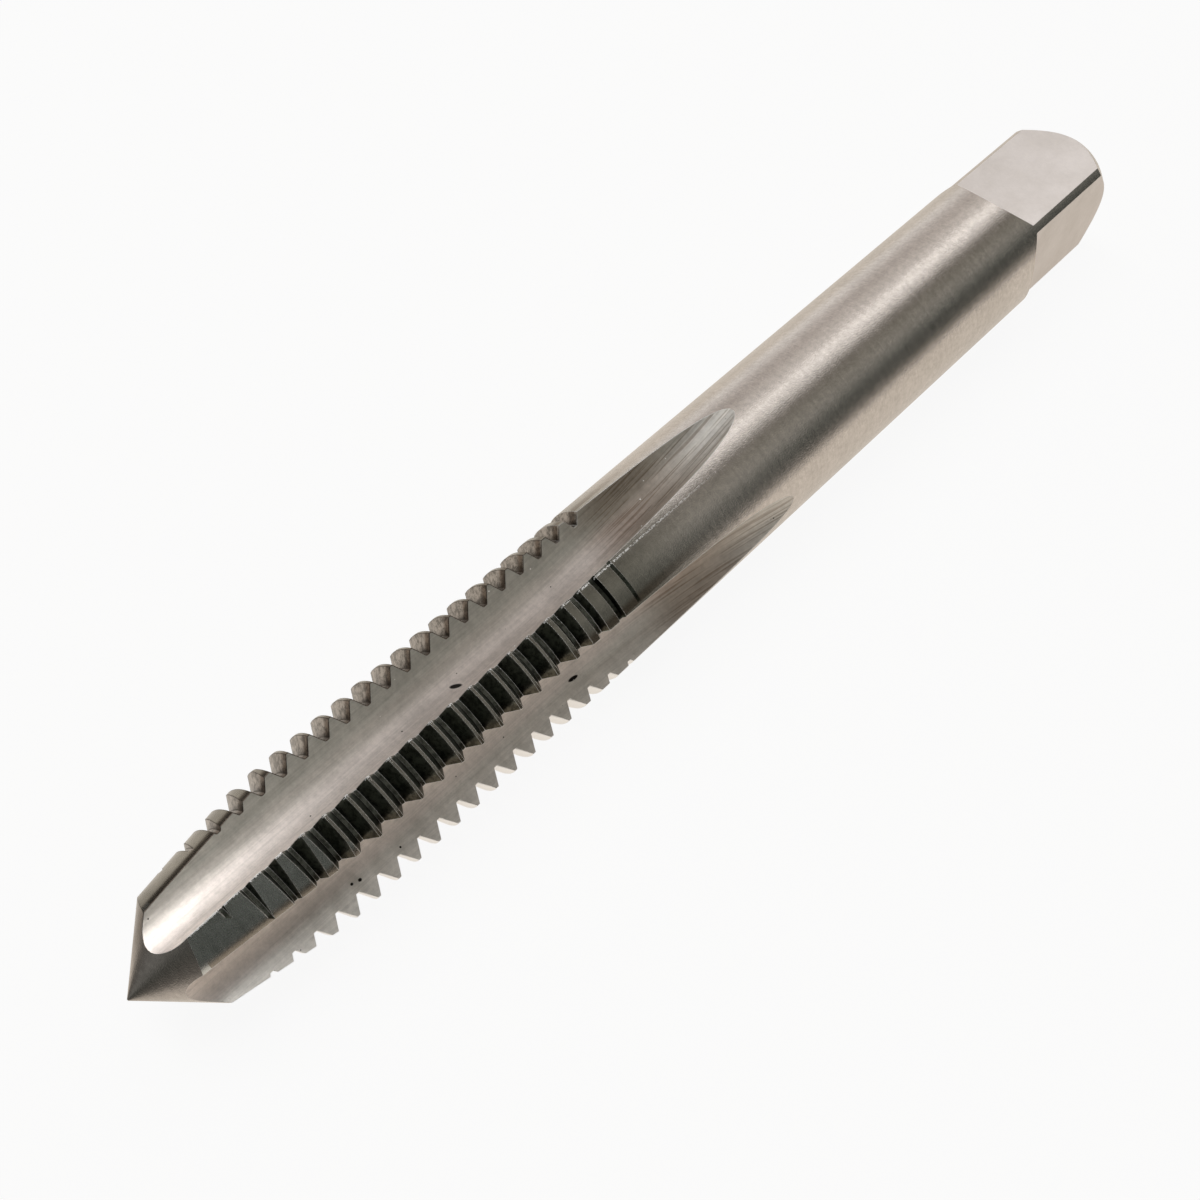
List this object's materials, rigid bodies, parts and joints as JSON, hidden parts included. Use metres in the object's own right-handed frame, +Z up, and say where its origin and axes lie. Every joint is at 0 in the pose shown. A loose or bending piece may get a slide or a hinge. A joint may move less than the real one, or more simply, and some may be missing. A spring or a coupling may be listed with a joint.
{
  "type": "thread tap",
  "caption": "Hand tap that cuts right-hand internal threads: pointed end, tapered relieved lead, straight flutes, thread run-out, plain round shank and driving square.",
  "frame": {"origin": "on the surface the tap lies on, below the middle of its length", "axes": "+X along the tap from its point to its driving square, +Z up, square to one flat of the square"},
  "size_m": [0.072, 0.008, 0.008],
  "materials": {
    "tool_steel": "ground, unpolished"
  },
  "bodies": {
    "root": {"thread_tap": "tool_steel"}
  },
  "joints": []
}
